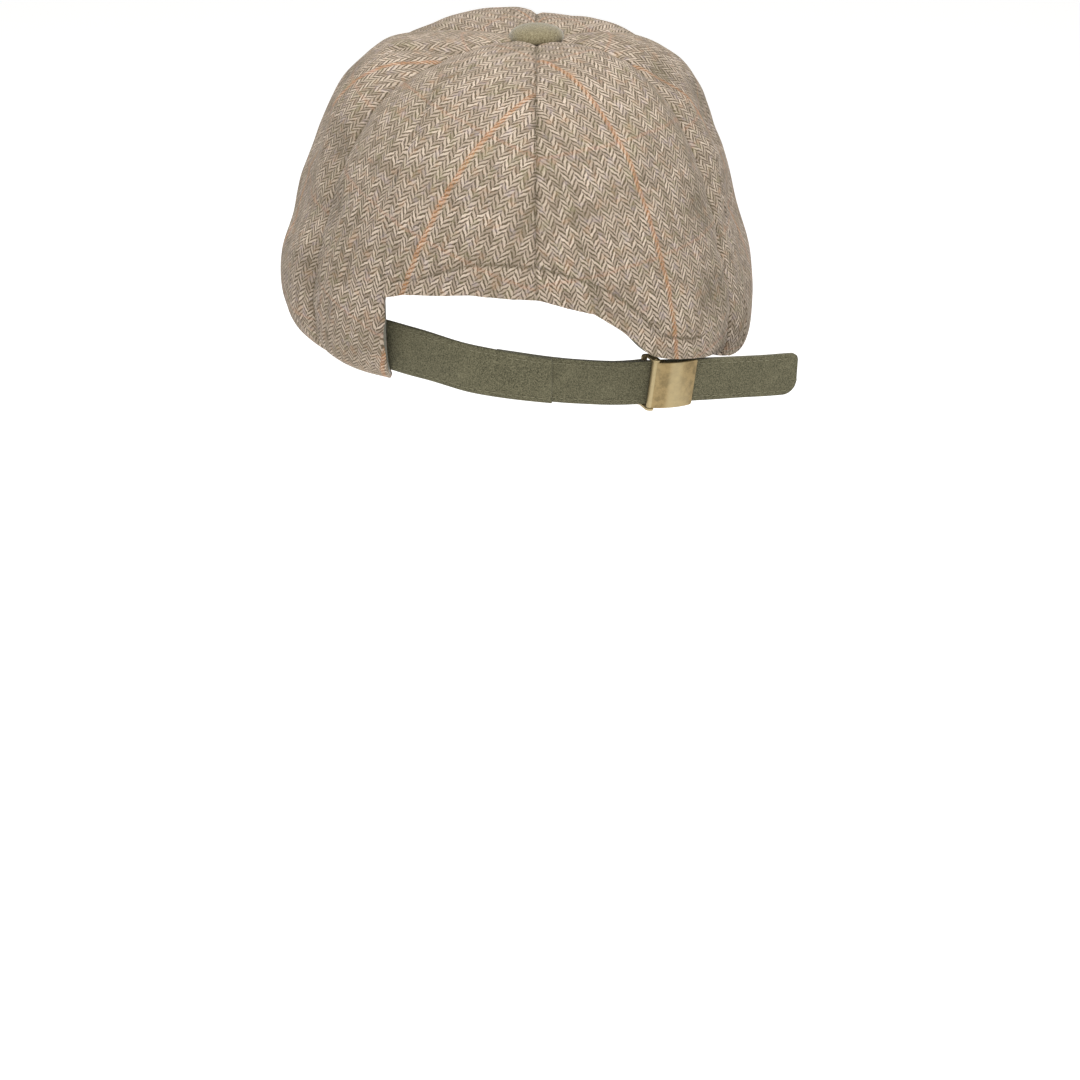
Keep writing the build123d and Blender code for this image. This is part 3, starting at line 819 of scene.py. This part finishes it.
def plain_nodes():
    """Materials of the CAD pieces that keep their own shape."""
    steel = marked("pressed_steel", 1.2, ((0.42, 0.42, 0.41, 1), (0.6, 0.6, 0.59, 1)), 0.00005, 0.4,
                   Metallic=1.0, Roughness=0.35)
    board = marked("board_sheet", 0.3, ((0.68, 0.68, 0.65, 1), (0.8, 0.8, 0.77, 1)), 0.0001, 0.3,
                   Roughness=0.6)
    for material, nodes in (
        (antique_brass(), ("buckle_frame", "buckle_pin", "buckle_lever")),
        (steel, ("button_shell", "button_back", "button_washer")),
        (board, ("visor_board",)),
    ):
        for node in nodes:
            frame["nodes"][node].data.materials.clear()
            frame["nodes"][node].data.materials.append(material)


# ---------------------------------------------------------------- stitches


def add_stitches(name, rows, material, body, length=2.2, gap=1.1, radius=0.28):
    """Thread lying in rows. Each row is (points, outward directions), in millimetres along its line."""
    bm = bmesh.new()
    sides, rings = 6, 5
    for points, outward in rows:
        points, outward = np.asarray(points), np.asarray(outward)
        gaps = np.linalg.norm(np.diff(points, axis=0), axis=1)
        along = np.concatenate([[0], np.cumsum(gaps)])
        count = max(int(along[-1] // (length + gap)), 1)
        for k in range(count):
            start = k * (length + gap) + gap / 2
            loops = []
            for ring in range(rings):
                share = ring / (rings - 1)
                at = start + share * length
                centre = np.array([np.interp(at, along, points[:, c]) for c in range(3)])
                after = np.array([np.interp(at + 0.3, along, points[:, c]) for c in range(3)])
                out = np.array([np.interp(at, along, outward[:, c]) for c in range(3)])
                way = after - centre
                size = np.linalg.norm(way)
                way = way / size if size > 1e-6 else np.array([1.0, 0, 0])
                beside = np.cross(out, way)
                beside /= max(np.linalg.norm(beside), 1e-6)
                bulge = math.sin(math.pi * (0.12 + 0.76 * share))
                lift = radius * (1.3 * bulge - 0.75)
                loop = []
                for side in range(sides):
                    turn = 2 * math.pi * side / sides
                    spread = beside * math.cos(turn) + out * math.sin(turn)
                    loop.append(bm.verts.new((centre + out * lift + spread * radius * bulge) * MM))
                loops.append(loop)
            for a, b in zip(loops, loops[1:]):
                for side in range(sides):
                    nxt = (side + 1) % sides
                    bm.faces.new((a[side], a[nxt], b[nxt], b[side])).smooth = True
            bm.faces.new(list(reversed(loops[0])))
            bm.faces.new(loops[-1])
    bmesh.ops.recalc_face_normals(bm, faces=bm.faces)
    mesh = bpy.data.meshes.new(name)
    bm.to_mesh(mesh)
    bm.free()
    made = bpy.data.objects.new(name, mesh)
    scene.collection.objects.link(made)
    made.data.materials.append(material)
    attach(made, body)
    return made


# ---------------------------------------------------------------- strap

STRAP_OVAL = (81.0, 101.0)
STRAP_THICK = 2.0
LAP = 2.2
TAIL_ANGLE = math.radians(23.0)
ROOT_ANGLE = math.radians(30.0)
TAIL_LENGTH = 112.0
ROOT_X = 63.0
STRAP_COURSE = ((-45.0, 3.2), (-10.0, 11.6), (35.0, 18.4), (63.0, 19.0))
LAP_END_X, LAP_START_X = -16.0, 8.0
SLOPE = math.tan(math.radians(7.0))


def tangent_point(angle, a, b):
    slope = math.tan(angle)
    scale = math.hypot(b, a * slope)
    return np.array([a * a * slope / scale, b * b / scale])


def strap_line(grow, count=400):
    """The strap's centre line in plan, from its root to its tip, and the direction outwards at each point."""
    a, b = STRAP_OVAL[0] + grow, STRAP_OVAL[1] + grow
    root, tail = tangent_point(ROOT_ANGLE, a, b), tangent_point(-TAIL_ANGLE, a, b)
    run = (ROOT_X - root[0]) / math.cos(ROOT_ANGLE)
    start = root + run * np.array([math.cos(ROOT_ANGLE), -math.sin(ROOT_ANGLE)])
    tip = tail - TAIL_LENGTH * np.array([math.cos(TAIL_ANGLE), math.sin(TAIL_ANGLE)])
    turns = np.linspace(math.atan2(root[1] / b, root[0] / a), math.atan2(tail[1] / b, tail[0] / a), 120)
    arc = np.stack([a * np.cos(turns), b * np.sin(turns)], -1)
    line = np.concatenate([[start], arc, [tip]])
    along = np.concatenate([[0], np.cumsum(np.linalg.norm(np.diff(line, axis=0), axis=1))])
    at = np.linspace(0, along[-1], count)
    points = np.stack([np.interp(at, along, line[:, 0]), np.interp(at, along, line[:, 1])], -1)
    way = np.gradient(points, axis=0)
    way /= np.linalg.norm(way, axis=1, keepdims=True)
    return points, np.stack([-way[:, 1], way[:, 0]], -1) * -1, at


def strap_height(x):
    """Height of the strap's centre line: the course's straight runs, with their corners eased."""
    course = np.array(STRAP_COURSE)

    def sharp(at):
        return np.interp(at, course[:, 0], course[:, 1]) + np.minimum(at - course[0, 0], 0) * SLOPE

    return sum(sharp(x + offset) for offset in (-8, -4, 0, 4, 8)) / 5


def strap_section(name, node, grow, x_from, x_to, widths, tip_rounding, material):
    """A length of strap as a thick ribbon. widths are its widths at its two ends."""
    points, outward, at = strap_line(grow)
    keep = (points[:, 0] <= x_from) & (points[:, 0] >= x_to)
    points, outward, at = points[keep], outward[keep], at[keep]
    across = np.linspace(-1, 1, 13)
    grid = np.zeros((len(points), len(across), 3))
    length = at - at[0]
    half = np.interp(length, [0, length[-1]], widths) / 2
    from_tip = length[-1] - length
    low, high = half.copy(), half.copy()
    if tip_rounding:
        foot, top = tip_rounding
        low -= np.where(from_tip < foot, foot - np.sqrt(np.maximum(foot**2 - (foot - from_tip) ** 2, 0)), 0)
        high -= np.where(from_tip < top, top - np.sqrt(np.maximum(top**2 - (top - from_tip) ** 2, 0)), 0)
    free = 1.0 - 0.96 * bell(points[:, 0] + 60.0, 66.0)
    ripple = 0.25 * np.sin(length / 11.0 + 1.0) + 0.12 * np.sin(length / 4.3)
    centre = strap_height(points[:, 0]) + ripple * free

    def sway(share):
        """How far the cloth stands off its line. Inside the buckle's travel it is held flat."""
        wave = 0.35 * np.sin(length / 17.0 + share * 1.3) + 0.22 * np.sin(length / 6.1 + share * 2.0)
        return (wave + 0.25 * (1 - share**2)) * free

    for j, share in enumerate(across):
        size = np.where(share < 0, low, high)
        grid[:, j, :2] = points + outward * sway(share)[:, None]
        grid[:, j, 2] = centre + share * size
    u = np.repeat((across * 10.0)[None, :], len(points), 0)
    v = np.repeat(length[:, None], len(across), 1)
    ribbon = make_sheet(name, [grid], [(u, v)])
    thicken(ribbon, STRAP_THICK - 0.1, 0.75, offset=0)
    for polygon in ribbon.data.polygons:
        polygon.use_smooth = True
    wear(ribbon, material)
    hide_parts(node)
    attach(ribbon, "cap")
    rows = []
    inset = 2.1
    for side in (-1, 1):
        size = (low if side < 0 else high) - inset
        for face in (1, -1):
            line = np.zeros((len(points), 3))
            line[:, :2] = points + outward * (sway(side * size / 10.0) + face * STRAP_THICK / 2)[:, None]
            line[:, 2] = centre + side * size
            out = np.concatenate([outward * face, np.zeros((len(points), 1))], 1)
            inside = from_tip > (3.0 if tip_rounding else 1.0)
            rows.append((line[inside], out[inside]))
    return ribbon, rows


def build_strap():
    """The strap's two sections and their edge stitching."""
    nap = olive_nap("olive_strap", (0.036, 0.035, 0.019, 1), (0.182, 0.168, 0.104, 1), 0.2, 1.9)
    thread = thread_cotton("olive_thread", (0.15, 0.138, 0.082, 1))
    tail = tangent_point(-TAIL_ANGLE, *STRAP_OVAL)
    tip_x = tail[0] - (TAIL_LENGTH - 2.0) * math.cos(TAIL_ANGLE)
    _, first = strap_section("strap_root", "strap_root_section", LAP, ROOT_X, LAP_END_X, (23.0, 20.4),
                             None, nap)
    _, second = strap_section("strap_tail", "strap_tail_section", 0.0, LAP_START_X, tip_x, (20.2, 19.6),
                              (7.0, 2.5), nap)
    for name, rows in (("strap_root_stitches", first), ("strap_tail_stitches", second)):
        add_stitches(name, rows, thread, "cap", radius=0.2)


# ---------------------------------------------------------------- button


def build_button():
    """Cloth pulled over a dome, gathered a little round its foot."""
    low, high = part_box("button_cover")
    centre = ((low + high) / 2)[:2]
    radius, height = (high[0] - low[0]) / 2 / MM, (high[2] - low[2]) / MM
    base = low[2] / MM
    around, rings = 72, 22
    grid = np.zeros((rings, around + 1, 3))
    for i, share in enumerate(np.linspace(0, 1, rings)):
        for j in range(around + 1):
            turn = 2 * math.pi * j / around
            rim = max(0.0, (share - 0.75) / 0.25)
            pleat = 1 + 0.012 * rim * math.sin(turn * 9 + 1.0) + 0.008 * rim * math.sin(turn * 17)
            r = (radius - 0.3) * math.sin(share * math.pi / 2 * 1.06) * pleat
            rise = height * (max(0.0, math.cos(share * math.pi / 2)) ** 0.82)
            grid[i, j] = (centre[0] / MM + r * math.cos(turn),
                          centre[1] / MM + r * math.sin(turn), base + rise)
    u = grid[..., 0] - grid[0, 0, 0]
    v = grid[..., 1] - grid[0, 0, 1]
    cover = make_sheet("button_cloth", [grid], [(u, v)])
    bm = bmesh.new()
    bm.from_mesh(cover.data)
    bmesh.ops.recalc_face_normals(bm, faces=bm.faces)
    bm.to_mesh(cover.data)
    bm.free()
    thicken(cover, 0.6)
    for polygon in cover.data.polygons:
        polygon.use_smooth = True
    wear(cover, olive_nap("olive_button", (0.12, 0.10, 0.055, 1), (0.30, 0.26, 0.16, 1), 0.5))
    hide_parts("button_cover")
    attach(cover, "cap")


# ---------------------------------------------------------------- sweatband and facing

HEAD = (80.0, 100.0, 101.0)


def head_point(degrees, grow):
    """A point of the head opening's oval, grown outwards."""
    c, s = math.cos(math.radians(degrees)), math.sin(math.radians(degrees))
    b = HEAD[1] if s >= 0 else HEAD[2]
    return np.array([(HEAD[0] + grow) * c, (b + grow) * s])


def build_sweatband():
    """The band inside the rim, open across the back, with one row of stitches along its foot."""
    turns = np.linspace(39.5, -202.4, 190)
    heights = np.linspace(0.7, 30.3, 14)
    grid = np.zeros((len(turns), len(heights), 3))
    foot = []
    for i, degrees in enumerate(turns):
        sway = 0.25 * math.sin(math.radians(degrees) * 11) + 0.15 * math.sin(math.radians(degrees) * 23)
        for j, z in enumerate(heights):
            lean = sway * (z / 30.0)
            grid[i, j, :2] = head_point(degrees, 0.5 + lean)
            grid[i, j, 2] = z
        foot.append(grid[i, 1].copy())
    lengths = np.concatenate([[0], np.cumsum(np.linalg.norm(np.diff(grid[:, 0], axis=0), axis=1))])
    u = np.repeat(lengths[:, None], len(heights), 1)
    v = np.repeat(heights[None, :], len(turns), 0)
    band = make_sheet("sweatband_tape", [grid], [(u, v)])
    thicken(band, 1.1, 0.35)
    wear(band, cotton_twill())
    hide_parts("sweatband")
    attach(band, "cap")
    foot = np.array(foot) + (0, 0, 1.0)
    inward = -foot * (1, 1, 0)
    inward /= np.linalg.norm(inward, axis=1, keepdims=True)
    thread = thread_cotton("band_thread", (0.22, 0.2, 0.15, 1))
    stitches = add_stitches("sweatband_stitches", [(foot + inward * 1.15, inward)], thread, "cap",
                            2.6, 1.2, 0.24)


FACING_DEPTH = 2.2
FACING_WIDTH = 10.6


def build_arch_edge():
    """The facing behind the arch's edge, and the row of stitches that holds it."""
    route, out = arch_route()
    spans = np.linspace(0.0, FACING_WIDTH, 9)
    grid = np.zeros((len(route), len(spans), 3))
    for j, span in enumerate(spans):
        at = route + out * span
        grid[:, j], _ = cloth_at(at[:, 0], at[:, 1], FACING_DEPTH)
    lengths = np.concatenate([[0], np.cumsum(np.linalg.norm(np.diff(route, axis=0), axis=1))])
    u = np.repeat(lengths[:, None], len(spans), 1)
    v = np.repeat(spans[None, :], len(route), 0)
    facing = make_sheet("arch_facing_tape", [grid], [(u, v)])
    thicken(facing, 0.7, 0.2)
    wear(facing, lining_satin("facing_satin"))
    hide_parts("arch_facing")
    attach(facing, "cap")
    sewn = (route[:, 0] < 49.0) & (route[:, 0] > -78.0)
    at = (route + out * stitch_offset(route[:, 0])[:, None])[sewn]
    line, outward = cloth_at(at[:, 0], at[:, 1], 0.15)
    thread = thread_cotton("arch_thread", (0.13, 0.10, 0.06, 1))
    stitches = add_stitches("arch_stitches", [(line, outward)], thread, "cap", 2.4, 0.9, 0.3)


# ---------------------------------------------------------------- visor

VISOR_REACH = 60.0
VISOR_RADIUS = 87.0
VISOR_BOW = 150.0
VISOR_TILT = math.radians(17.0)
VISOR_DROP = 0.4
VISOR_END_Y = -34.0
VISOR_THICK = 4.4
FLANGE_TOP = 2.0


def visor_point(x, y, depth):
    """A point of the visor at a depth under its upper face: x and y are in plan, in millimetres."""
    lean = np.sqrt((VISOR_BOW - depth) ** 2 - x**2) - VISOR_BOW
    root_y = -HEAD[2]
    reach = (root_y - lean * math.sin(VISOR_TILT) - y) / math.cos(VISOR_TILT)
    z = -VISOR_DROP - reach * math.sin(VISOR_TILT) + lean * math.cos(VISOR_TILT)
    return np.stack([x, y, z], -1)


def visor_edges(count):
    """The visor's inner and outer outlines in plan, from the wearer's right to the left."""
    a, b = HEAD[0] + 1.4, HEAD[2] + 1.4
    inner_turn = math.acos(VISOR_END_Y / -b)
    turns = np.linspace(-inner_turn, inner_turn, count)
    inner = np.stack([a * np.sin(turns), -b * np.cos(turns)], -1)
    centre_y = VISOR_RADIUS - HEAD[2] - VISOR_REACH
    outer_turn = math.pi - math.acos((VISOR_END_Y - centre_y) / VISOR_RADIUS)
    turns = np.linspace(-outer_turn, outer_turn, count)
    outer = np.stack([VISOR_RADIUS * np.sin(turns), centre_y - VISOR_RADIUS * np.cos(turns)], -1)
    return inner, outer


def build_visor():
    """Two tweed covers over the board, rolled together round the edge, with a row of stitches inside it."""
    count = 150
    inner, outer = visor_edges(count)
    flat_shares = np.linspace(0.0, 1.0, 34)
    roll = np.linspace(0, 1, 8)[1:]
    half = VISOR_THICK / 2 - 0.1
    edge_room = 2.2
    span = np.linalg.norm(outer - inner, axis=1, keepdims=True)
    way = (outer - inner) / np.maximum(span, 1e-6)
    room = np.minimum(edge_room, span * 0.4)
    for side, name, node in ((1, "visor_top", "visor_top_cover"), (-1, "visor_bottom", "visor_bottom_cover")):
        rows = []
        for share in flat_shares:
            plan = inner + (outer - way * room - inner) * share
            depth = 0.0 if side > 0 else VISOR_THICK
            rows.append(visor_point(plan[:, 0], plan[:, 1], depth))
        for share in roll:
            turn = share * math.pi / 2
            plan = outer - way * room * (1 - math.sin(turn))
            sink = half * (1 - math.cos(turn))
            depth = sink if side > 0 else VISOR_THICK - sink
            rows.append(visor_point(plan[:, 0], plan[:, 1], depth))
        grid = np.array(rows)
        grid[..., 2] += 0.25 * sample_noise(grid, 26.0, 5.0) * side
        if side > 0:
            # the cover's inner edge turns up between the crown's rim and the sweatband
            turned = [grid[0] + (0, 0, 1) * (FLANGE_TOP - grid[0, :, 2:]) * share
                      for share in (1.0, 0.66, 0.33)]
            grid = np.concatenate([np.array(turned), grid])
        u = grid[..., 0]
        v = -grid[..., 1] * 1.02
        v[-len(roll):] += np.linspace(0, half, len(roll))[:, None]
        cover = make_sheet(name, [grid], [(u, v)])
        thicken(cover, 1.1, offset=side)
        for polygon in cover.data.polygons:
            polygon.use_smooth = True
        wear(cover, tweed(f"tweed_{name}", 20.0, 10.0))
        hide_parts(node)
        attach(cover, "cap")
    thread = thread_cotton("visor_thread", (0.22, 0.18, 0.12, 1))
    rows = []
    inset = 6.0
    keep = span[:, 0] > inset * 1.6
    plan = (outer - way * inset)[keep]
    for depth, side in ((-0.1, 1), (VISOR_THICK + 0.1, -1)):
        line = visor_point(plan[:, 0], plan[:, 1], depth)
        outward = np.repeat([[0, -math.sin(VISOR_TILT) * side, math.cos(VISOR_TILT) * side]], len(line), 0)
        rows.append((line, outward))
    add_stitches("visor_stitches", rows, thread, "cap", 2.4, 1.0, 0.28)


# ---------------------------------------------------------------- buckle tab

PIN_X, PIN_Z = -9.0, 3.1
TAB_WIDTH = 18.0
TAB_THICK = 1.1
TAB_END_X = -26.3
BAR_X, BAR_LENGTH, BAR_Z = -12.5, 2.4, -3.4


def buckle_axes():
    """The buckle's own axes and middle, in millimetres: along the strap, up across it and outwards."""
    joints = {joint["name"]: joint for joint in frame["record"]["behaviour"]["joints"]}
    along = np.array(joints["strap_adjust"]["axis"])
    upwards = -np.array(joints["lever_hinge"]["axis"])
    outwards = np.cross(along, upwards)
    middle = np.array(joints["lever_hinge"]["pos_m"]) / MM - along * PIN_X - outwards * PIN_Z
    return np.array([along, upwards, outwards]), middle


def build_tab():
    """A tab of strap cloth folded round the buckle's inner bar, its two ends stitched to each other."""
    axes, middle = buckle_axes()
    gap = TAB_THICK / 2 + 0.06
    loop_radius = 1.35
    centre_x = BAR_X + BAR_LENGTH / 2
    upper = [(x, gap + (loop_radius - gap) * s) for x, s in zip(np.linspace(TAB_END_X, -18.5, 14), [0] * 14)]
    ramp = np.linspace(0, 1, 9)[1:]
    swell = [(-18.5 + (centre_x + 18.5) * t, gap + (loop_radius - gap) * (3 * t**2 - 2 * t**3)) for t in ramp]
    turns = np.linspace(math.pi / 2, -math.pi / 2, 11)[1:-1]
    round_ = [(centre_x + (loop_radius + 0.1) * math.cos(t), loop_radius * math.sin(t)) for t in turns]
    half_path = upper + swell
    path = np.array(half_path + round_ + [(x, -z) for x, z in reversed(half_path)])
    across = np.linspace(-1, 1, 15)
    grid = np.zeros((len(path), len(across), 3))
    for j, share in enumerate(across):
        y = share * TAB_WIDTH / 2
        ripple = 0.05 * np.sin(path[:, 0] * 0.9 + share * 2.0)
        local = np.stack([path[:, 0], np.full(len(path), y), path[:, 1] + BAR_Z + ripple], -1)
        grid[:, j] = middle + local @ axes
    along = np.concatenate([[0], np.cumsum(np.linalg.norm(np.diff(path, axis=0), axis=1))])
    u = np.repeat((across * TAB_WIDTH / 2)[None, :], len(path), 0)
    v = np.repeat(along[:, None], len(across), 1)
    tab = make_sheet("buckle_tab_loop", [grid], [(u, v)])
    thicken(tab, TAB_THICK - 0.04, 0.3, offset=0, segments=2)
    for polygon in tab.data.polygons:
        polygon.use_smooth = True
    nap = olive_nap("olive_tab", (0.10, 0.090, 0.045, 1), (0.20, 0.18, 0.10, 1), 0.35)
    wear(tab, nap)
    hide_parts("buckle_tab")
    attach(tab, "buckle")
    rows = []
    for x in (-19.6, -24.6):
        for side in (1, -1):
            places = np.linspace(-TAB_WIDTH / 2 + 1.2, TAB_WIDTH / 2 - 1.2, 12)
            depth = BAR_Z + side * (TAB_THICK + 0.06)
            local = np.stack([np.full(12, x), places, np.full(12, depth)], -1)
            rows.append((middle + local @ axes, np.repeat([axes[2] * side], 12, 0)))
    thread = thread_cotton("tab_thread", (0.20, 0.185, 0.12, 1))
    add_stitches("buckle_tab_stitches", rows, thread, "buckle", 1.9, 0.8, 0.2)


plain_nodes()
build_crown()
build_arch_edge()
build_button()
build_sweatband()
build_visor()
build_strap()
build_tab()
